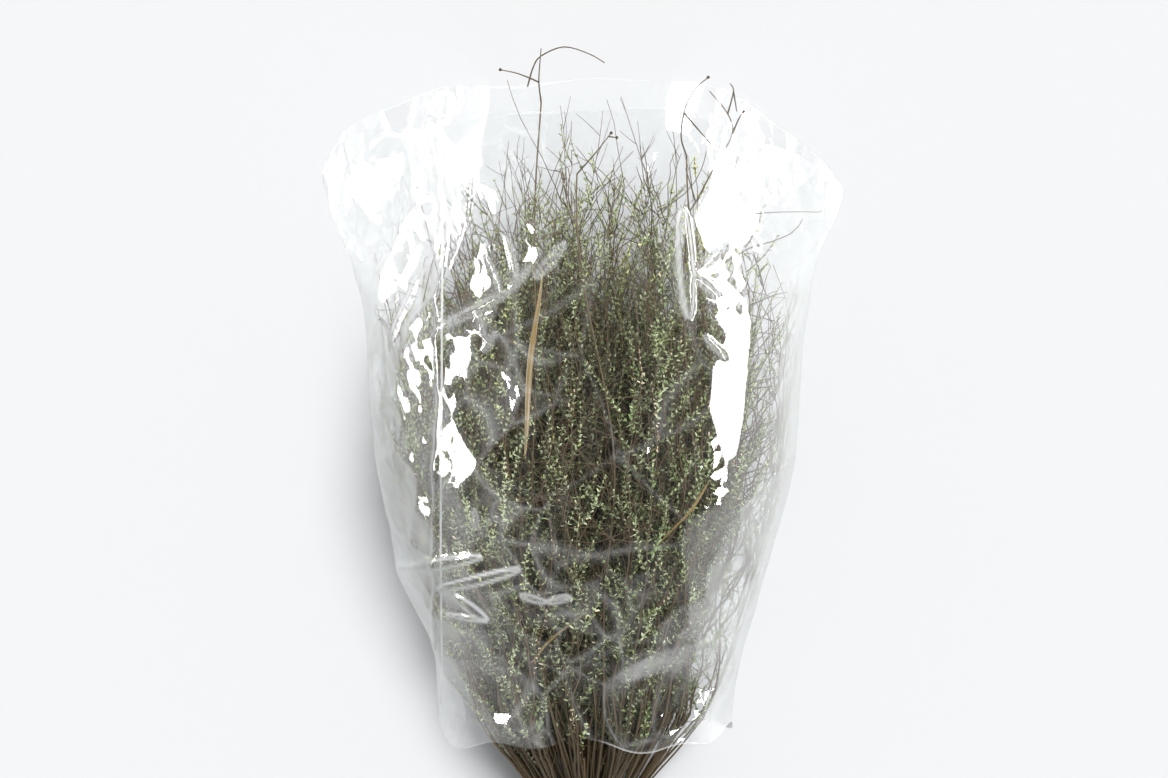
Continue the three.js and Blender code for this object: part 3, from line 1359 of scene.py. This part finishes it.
@dataclass
class FilmSleeve:
    """The clear film sleeve, with sharp crinkles, pleats, a seam and a flared mouth."""

    shape: SleeveShape
    node: str = "film_sleeve"
    around: int = 400
    lengthwise: int = 245
    octaves: tuple = ((85 * MM, 0.20, 0.12, 1.7), (38 * MM, 0.24, 0.144, 1.8), (15 * MM, 0.24, 0.144, 1.6))
    ridge: float = 0.5 * MM
    circumference: float = 1.155
    length: float = 0.60
    draw_in: float = 9 * MM
    most_lift: float = 18 * MM
    most_sink: float = 7 * MM
    tuck_wall: float = 2.8 * MM
    tuck_edge: float = 1.9 * MM
    seam_lift: float = 1.1 * MM
    seam_half: float = 2.2 * MM
    band_spacing: float = 31 * MM
    band_lift: float = 3.2 * MM
    above_floor: float = 0.4 * MM
    seed: int = 16
    tucks: tuple = ()

    def column_angle(self, t: np.ndarray) -> np.ndarray:
        """The angle round the sleeve for each column, with more columns on the upper side.

        Args:
            t: Column places from 0 to 1.

        Returns:
            The angles.
        """
        top_share, top_arc = 0.74, math.radians(220)
        start = math.radians(-20)
        upper = start + top_arc * t / top_share
        lower = start + top_arc + (2 * math.pi - top_arc) * (t - top_share) / (1 - top_share)
        return np.where(t < top_share, upper, lower)

    def base(self, t: np.ndarray, v: np.ndarray) -> tuple[np.ndarray, np.ndarray]:
        """The sleeve's smooth surface.

        Args:
            t: Places round it from 0 to 1.
            v: Places along it from 0 to 1.

        Returns:
            Points and outward directions.
        """
        shape = self.shape
        angle = self.column_angle(t)
        upper = np.sin(angle) > 0
        lip = np.where(upper, shape.lip - 0.020, shape.lip)
        mouth = shape.corner + (lip - shape.corner) * np.abs(np.sin(angle)) ** 0.9
        mouth = mouth + 4 * MM * np.sin(5 * angle + 0.6) + 2.5 * MM * np.sin(11 * angle)
        mouth = mouth - 24 * MM * smooth(np.cos(angle), 0.35, 0.95)
        foot = shape.foot + 5 * MM * np.sin(4 * angle + 1) + 4 * MM * np.sin(9 * angle)
        y = foot + (mouth - foot) * v
        slimmer = 8 * MM * smooth(-np.cos(angle), 0.2, 0.8) * smooth(y, -0.1, 0.05)
        across = shape.half_width(y) - 4 * MM - slimmer
        across += 13 * MM * smooth(y, 0.20, 0.28)
        middle = shape.half_height(y)
        pointed = smooth(y, shape.corner - 0.14, shape.corner + 0.02)
        rise = np.sign(np.sin(angle)) * np.abs(np.sin(angle)) ** (1 + 1.6 * pointed)
        up = middle * shape.flattening - 3 * MM
        points = np.stack([across * np.cos(angle), y, middle + up * rise], 1)
        outward = np.stack([np.cos(angle) / across, 0 * y, rise / up], 1)
        return points, unit(outward)

    def crumple(
        self, points: np.ndarray, spacing: float, bow: float, slope: float, stretch: float, seed: int
    ) -> tuple[np.ndarray, np.ndarray]:
        """Sharp facets: the lowest of many shallow, tilted bowls that are scattered over the film.

        Args:
            points: Where to read it, ordered along the sleeve.
            spacing: Roughly the distance between bowls.
            bow: How curved the bowls are: the slope that bending adds at their edge.
            slope: How steeply the bowls are tilted.
            stretch: How much longer than wide the facets are.
            seed: Random seed.

        Returns:
            The height at each point, and how near it is to a ridge between two facets.
        """
        rng = np.random.default_rng(seed)
        count = int(0.66 / spacing**2)
        picked = points[rng.choice(len(points), count, replace=False)]
        way = unit(rng.normal(0, 1, (count, 3)) * (1, 1.5, 1))
        tilt = rng.normal(0, slope, (count, 3))
        rise = rng.normal(0, 0.1 * bow * spacing, count)
        height = np.full(len(points), 1e6)
        second = height.copy()
        reach = 3.5 * spacing * stretch**0.5
        starts = np.searchsorted(points[:, 1], picked[:, 1] - reach)
        ends = np.searchsorted(points[:, 1], picked[:, 1] + reach)
        for centre, along, lean, base, start, end in zip(picked, way, tilt, rise, starts, ends):
            gap = points[start:end] - centre
            lengthwise = gap @ along
            square = np.einsum("ij,ij->i", gap, gap) - (1 - 1 / stretch**2) * lengthwise**2
            bowl = base + gap @ lean + bow * square / spacing
            near = height[start:end]
            second[start:end] = np.minimum(second[start:end], np.maximum(near, bowl))
            height[start:end] = np.minimum(near, bowl)
        return height - np.percentile(height, 3), np.exp((height - second) / self.ridge)

    def tuck_height(self, x: np.ndarray, y: np.ndarray, tuck: Tuck) -> tuple[np.ndarray, np.ndarray]:
        """How far one pleat lifts the film.

        Args:
            x: Places across.
            y: Places along.
            tuck: The pleat.

        Returns:
            The lift, and how pale the pleat's folded edge is painted there: stress whitening with a painted
            highlight.
        """
        start, end = np.array(tuck.start), np.array(tuck.end)
        run = end - start
        length = np.hypot(*run)
        way = run / length
        along = ((x - start[0]) * way[0] + (y - start[1]) * way[1]) / length
        off = (x - start[0]) * -way[1] + (y - start[1]) * way[0]
        half = tuck.width / 2 * np.sqrt(np.clip(4 * along * (1 - along), 0, 1))
        held = (along > 0) & (along < 1)
        inside = half - np.abs(off)
        edge = tuck.whiteness * np.exp(-((inside / self.tuck_edge) ** 2)) * held
        return tuck.height * smooth(inside, -self.tuck_wall, self.tuck_wall) * held, edge

    def displacement(self, points: np.ndarray) -> tuple[np.ndarray, np.ndarray]:
        """How far each point of the film stands off its smooth surface.

        Args:
            points: The smooth surface.

        Returns:
            The outward distance, and how pale the folds are painted there: stress whitening with a painted
            highlight.
        """
        x, y, z = points.T
        # The left flank, the foot and the mouth are crumpled most. The right flank is nearly smooth.
        top = smooth(z / (2 * self.shape.half_height(y)), 0.3, 0.6)
        left = smooth(-x, 0.005, 0.05) * smooth(y, -0.12, 0.0)
        low = smooth(-y, -0.02, 0.10)
        mouth = smooth(y, 0.24, 0.32)
        right = smooth(x, 0.03, 0.08)
        calm = right * (1 - low) * (1 - mouth)
        strength = 0.30 + 0.75 * left + low * (0.6 - 0.3 * right) + mouth * (0.35 - 0.3 * right) - 0.16 * calm
        # The crumpling is read in order along the sleeve, then put back in the film's own order.
        order = np.argsort(y)
        back = np.argsort(order)
        found = [self.crumple(points[order], *octave, self.seed + i) for i, octave in enumerate(self.octaves)]
        broad, medium, fine = (height[back] for height, _ in found)
        # Ridges between facets get a pale line: stress whitening with a painted highlight.
        crease = 0.35 * found[1][1][back] * np.clip(strength - 0.3, 0, 1) + 0.12 * found[0][1][back]
        patchy = 0.5 + 0.5 * np.sin(31 * x + 17 * y + 2) * np.sin(23 * y - 19 * x)
        lift = broad * (0.45 + 0.6 * strength) + medium * strength * (1 - 0.8 * calm)
        lift += fine * np.clip(strength - 0.3, 0, 1) * (1 - calm) * patchy
        # Soft cross bands, where the film hangs slack over the front of the foot.
        wave = y + 2.2 * x**2 + 0.010 * np.sin(24 * x + 1) + 0.004 * np.sin(70 * x)
        bands = np.abs((wave / self.band_spacing + 0.35 * np.sin(wave / 0.04)) % 1 - 0.5) * 2
        front = smooth(0.11 - np.abs(x - 0.01), 0, 0.05) * smooth(-y, -0.02, 0.06) * smooth(y + 0.22, 0, 0.04)
        lift += self.band_lift * bands * front * top * (0.5 + 0.5 * np.sin(15 * x + 40 * y))
        side = smooth(np.abs(x) / self.shape.half_width(y), 0.7, 1.0)
        lift = (lift - self.draw_in) * (1 - 0.35 * side)
        lift = np.where(lift < 0, self.most_sink * np.tanh(lift / self.most_sink), lift)
        for tuck in self.tucks:
            raised, edge = self.tuck_height(x, y, tuck)
            lift += raised * top
            crease = np.maximum(crease, edge * top)
        lift = np.where(lift > 0, self.most_lift * np.tanh(lift / self.most_lift), lift)
        seam = np.abs(x - SEAM_X - SEAM_SWAY * np.sin(SEAM_WAVE * y))
        lift += self.seam_lift * smooth(self.seam_half - seam, -0.8 * MM, 0.8 * MM) * top
        return lift, crease

    def build(self, material: bpy.types.Material, rests_on: list) -> bpy.types.Object:
        """Draws the sleeve as one sheet closed round the bundle.

        Args:
            material: Its film.
            rests_on: Not used.

        Returns:
            The sleeve.
        """
        bm = bmesh.new()
        bmesh.ops.create_grid(bm, x_segments=self.around, y_segments=self.lengthwise, size=0.5)
        layer = bm.loops.layers.uv.new(MAP)
        for face in bm.faces:
            face.smooth = True
            for loop in face.loops:
                loop[layer].uv = (loop.vert.co.x + 0.5, loop.vert.co.y + 0.5)
        mesh = bpy.data.meshes.new(self.node)
        bm.to_mesh(mesh)
        bm.free()
        flat = np.empty(len(mesh.vertices) * 3, np.float32)
        mesh.vertices.foreach_get("co", flat)
        flat = flat.reshape(-1, 3).astype(float) + 0.5
        t = flat[:, 0] % (1 - 1e-7)
        points, outward = self.base(t, flat[:, 1])
        lift, crease = self.displacement(points)
        points += outward * lift[:, None]
        points[:, 2] = np.maximum(points[:, 2], self.above_floor)
        mesh.vertices.foreach_set("co", points.astype(np.float32).ravel())
        # The crease attribute carries the pale fold lines: stress whitening with a painted highlight.
        folded = mesh.attributes.new("crease", "FLOAT", "POINT")
        folded.data.foreach_set("value", crease.astype(np.float32))
        bm = bmesh.new()
        bm.from_mesh(mesh)
        bmesh.ops.remove_doubles(bm, verts=bm.verts[:], dist=1e-6)
        bmesh.ops.recalc_face_normals(bm, faces=bm.faces[:])
        bm.to_mesh(mesh)
        bm.free()
        piece = add_object("crinkled_sleeve", mesh, material)
        piece.visible_shadow = False
        seat(piece, "film", self.node)
        return piece


# ---------------------------------------------------------------------------------------------
# Studio


@dataclass
class Studio:
    """Pale floor, two tall softboxes, a soft surround and a camera that looks down."""

    aim: tuple = (-0.003, 0.0975, 0.13)
    frame_width: float = 1.052
    distance: float = 4.2
    lean: float = 6.0
    sensor: float = 36.0
    strip_place: tuple = (1.6, 0.3, 0.70)
    strip_size: tuple = (2.1, 0.56)
    strip_glow: float = 24.0
    sun_from: tuple = (0.22, 0.42, 1.0)
    sun_power: float = 3.75
    sun_spread: float = 24.0
    light_horizon: float = 0.34
    light_overhead: float = 0.42
    gloss_horizon: float = 1.3
    gloss_overhead: float = 0.05
    gloss_panel: float = 0.4
    seen: float = 0.93

    def build(self) -> None:
        """Makes floor, surround, lights and camera."""
        self.make_floor()
        self.make_surround()
        for side in (-1, 1):
            self.make_strip(side)
        self.make_sun()
        self.make_camera()

    def make_floor(self) -> None:
        """A wide plane at the height that the bundle lies on."""
        bm = bmesh.new()
        bmesh.ops.create_grid(bm, x_segments=2, y_segments=2, size=40)
        mesh = bpy.data.meshes.new("floor")
        bm.to_mesh(mesh)
        bm.free()
        floor = add_object("floor", mesh, FloorFinish().build())

    def make_surround(self) -> None:
        """A room that is bright all round and dim overhead."""
        world = bpy.data.worlds.new("surround")
        bpy.context.scene.world = world
        shader = Shader(world, "OutputWorld")
        place = shader.node("TexCoord").outputs["Generated"]
        across, along, up = shader.node("SeparateXYZ", {0: place}).outputs
        rays = shader.node("LightPath").outputs
        sides = shader.math("MULTIPLY_ADD", across, across, shader.math("MAXIMUM", along, 0.0))
        dim = shader.spread(sides, 0.25, 0.75, 0.07, 1.0)
        panel = shader.spread(across, -0.22, -0.55, 0.0, self.gloss_panel)
        found = self.sky(shader, up, self.light_horizon, self.light_overhead)
        gloss = self.sky(shader, up, self.gloss_horizon, self.gloss_overhead)
        gloss = shader.node("VectorMath", {0: gloss, "Scale": dim}, operation="SCALE").outputs[0]
        gloss = shader.node("VectorMath", {0: gloss, 1: panel}, operation="ADD").outputs[0]
        found = shader.mix(rays["Is Glossy Ray"], found, gloss)
        found = shader.mix(rays["Is Camera Ray"], found, self.sky(shader, up, self.seen, self.seen))
        shader.finish(shader.node("Background", {0: found}).outputs[0])

    @staticmethod
    def sky(shader: Shader, up: Any, horizon: float, overhead: float) -> bpy.types.NodeSocket:
        """A brightness that changes from the horizon to overhead.

        Args:
            shader: The surround's nodes.
            up: How high the view looks.
            horizon: The level low down.
            overhead: The level high up.

        Returns:
            The colour's socket.
        """
        stops = [(0.05, horizon), (0.7, overhead)]
        return shader.ramp(up, [(at, (level, level * 1.01, level * 1.03)) for at, level in stops])

    def make_strip(self, side: int) -> None:
        """A bright window at one side that only the film's gloss picks up.

        Args:
            side: -1 or 1, for left or right.
        """
        light = bpy.data.lights.new("strip", "AREA")
        light.shape = "RECTANGLE"
        light.size, light.size_y = self.strip_size
        light.energy = self.strip_glow * math.pi * light.size * light.size_y
        made = bpy.data.objects.new("strip", light)
        made.location = (side * self.strip_place[0], *self.strip_place[1:])
        aim = Vector((0, self.strip_place[1], 0.15)) - made.location
        made.rotation_euler = aim.to_track_quat("-Z", "Y").to_euler()
        made.visible_camera = False
        made.visible_diffuse = False
        bpy.context.scene.collection.objects.link(made)

    def make_sun(self) -> None:
        """An even, soft light from overhead that the film's gloss does not pick up."""
        light = bpy.data.lights.new("overhead", "SUN")
        light.energy = self.sun_power
        light.angle = math.radians(self.sun_spread)
        made = bpy.data.objects.new("overhead", light)
        made.rotation_euler = Vector(self.sun_from).to_track_quat("Z", "Y").to_euler()
        made.visible_glossy = False
        bpy.context.scene.collection.objects.link(made)

    def make_camera(self) -> None:
        """A long lens that looks down, from a little towards the shoot tips."""
        lens = bpy.data.cameras.new("camera")
        lens.sensor_width = self.sensor
        lens.lens = self.sensor * self.distance / self.frame_width
        lens.clip_end = 100
        camera = bpy.data.objects.new("camera", lens)
        lean = math.radians(self.lean)
        back = Vector((0, math.sin(lean), math.cos(lean)))
        camera.location = Vector(self.aim) + back * self.distance
        camera.rotation_euler = (-lean, 0, 0)
        bpy.context.scene.collection.objects.link(camera)
        bpy.context.scene.camera = camera


# ---------------------------------------------------------------------------------------------
# The bundle


@dataclass
class ThymeBundle:
    """The whole bundle: sprigs, dry twigs, straw, tie and sleeve."""

    dry_tops: tuple = (
        (
            Branch(((2, -48), (0, -30), (1, -12), (2, 0))),
            Branch(((0, -30), (-9, -26), (-20, -22), (-34, -19)), True),
            Branch(((-10, -34), (-5, -17), (2, -7), (22, 1), (44, -5), (58, -13))),
        ),
        (
            Branch(((-14, -70), (-19, -52), (-15, -26), (-6, -10), (5, 0)), True),
            Branch(((-16, -32), (-4, -46), (8, -60))),
        ),
        (
            Branch(((-30, -40), (-14, -22), (0, -4)), True),
            Branch(((-3, -7), (5, -8)), True),
        ),
        (
            Branch(((-2, -150), (2, -108), (8, -96), (26, -62), (40, -36), (36, -18), (20, 2))),
            Branch(((36, -18), (41, 2), (38, 9))),
            Branch(((41, 2), (44, -16))),
            Branch(((40, -36), (46, -22), (50, -16)), True),
            Branch(((8, -96), (-1, -66))),
        ),
    )
    # The fifth number of a pleat, where given, is how pale its edges are painted: stress whitening with a
    # painted highlight.
    tucks: tuple = (
        Tuck((-0.162, -0.062), (-0.088, -0.038), 9 * MM, 5 * MM, 0.85),
        Tuck((-0.128, -0.075), (-0.055, -0.048), 8 * MM, 5 * MM, 0.85),
        Tuck((-0.112, -0.078), (-0.082, -0.100), 8 * MM, 4 * MM, 0.8),
        Tuck((-0.119, -0.098), (-0.082, -0.100), 4 * MM, 4 * MM, 0.8),
        Tuck((-0.056, -0.073), (-0.034, -0.079), 5 * MM, 3 * MM, 0.6),
        Tuck((-0.034, -0.079), (-0.014, -0.074), 5 * MM, 3 * MM, 0.6),
        Tuck((0.082, 0.267), (0.089, 0.173), 12 * MM, 7 * MM, 0.7),
        Tuck((0.091, 0.211), (0.123, 0.234), 5 * MM, 3 * MM),
        Tuck((0.091, 0.211), (0.116, 0.190), 5 * MM, 3 * MM),
        Tuck((0.103, 0.158), (0.123, 0.136), 4 * MM, 2.5 * MM),
        Tuck((-0.019, 0.240), (-0.046, 0.208), 6 * MM, 4 * MM),
        Tuck((-0.050, 0.219), (-0.067, 0.197), 4 * MM, 3 * MM),
        Tuck((-0.067, 0.197), (-0.127, 0.163), 6 * MM, 4 * MM),
        Tuck((-0.072, 0.247), (-0.062, 0.210), 4 * MM, 3 * MM),
        Tuck((-0.090, 0.228), (-0.075, 0.198), 3.5 * MM, 2.5 * MM),
        Tuck((-0.095, 0.180), (-0.085, 0.156), 4 * MM, 3 * MM),
        Tuck((-0.077, 0.162), (-0.089, 0.145), 4 * MM, 3 * MM),
        Tuck((-0.151, 0.205), (-0.167, 0.149), 4 * MM, 3 * MM),
        Tuck((-0.164, 0.126), (-0.161, 0.096), 3.5 * MM, 2.5 * MM),
        Tuck((-0.112, 0.035), (-0.122, 0.015), 4.5 * MM, 3 * MM),
        Tuck((-0.094, 0.006), (-0.092, -0.014), 3.5 * MM, 2.5 * MM),
        Tuck((-0.222, 0.237), (-0.215, 0.201), 4 * MM, 3 * MM),
        Tuck((-0.203, 0.237), (-0.215, 0.201), 4 * MM, 3 * MM),
    )

    blade_widths: tuple = (5.5 * MM, 3.2 * MM, 3.0 * MM)
    sprig_seed: int = 100
    blade_seed: int = 400
    held_by: int = 6

    @staticmethod
    def named(start: str) -> list[str]:
        """The CAD nodes of one kind, in order.

        Args:
            start: How their names start.

        Returns:
            The names.
        """
        return [name for name in sorted(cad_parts) if name.startswith(start)]

    def build(self) -> None:
        """Makes every piece."""
        shape = SleeveShape()
        leaf = LeafShape()
        thyme = (BarkFinish().build(), LeafFinish().build())
        sprigs, twigs, blades = (self.named(start) for start in ("sprig_", "dry_twig_", "straw_"))
        for seed, node in enumerate(sprigs, self.sprig_seed):
            Sprig(node, seed, shape).build(leaf, thyme)
        for node, tops in zip(twigs, self.dry_tops):
            DryTwig(node, tops).build(shape, thyme)
        straw = StrawFinish().build()
        for seed, (node, width) in enumerate(zip(blades, self.blade_widths), self.blade_seed):
            StrawBlade(node, width, seed).build(straw)
        ElasticTie().build(ElasticFinish().build())
        upper = sorted(sprigs, key=lambda node: -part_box(node)[1].z)
        names = [node + "_grown" for node in upper[: self.held_by]]
        FilmSleeve(shape, tucks=self.tucks).build(FilmFinish().build(), names)


def main() -> None:
    """Builds the scene and writes how large it came out."""
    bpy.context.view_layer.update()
    scene = bpy.context.scene
    scene.view_settings.view_transform = "Standard"
    scene.cycles.transparent_max_bounces = 24
    ThymeBundle().build()
    Studio().build()


if __name__ == "__main__":
    main()
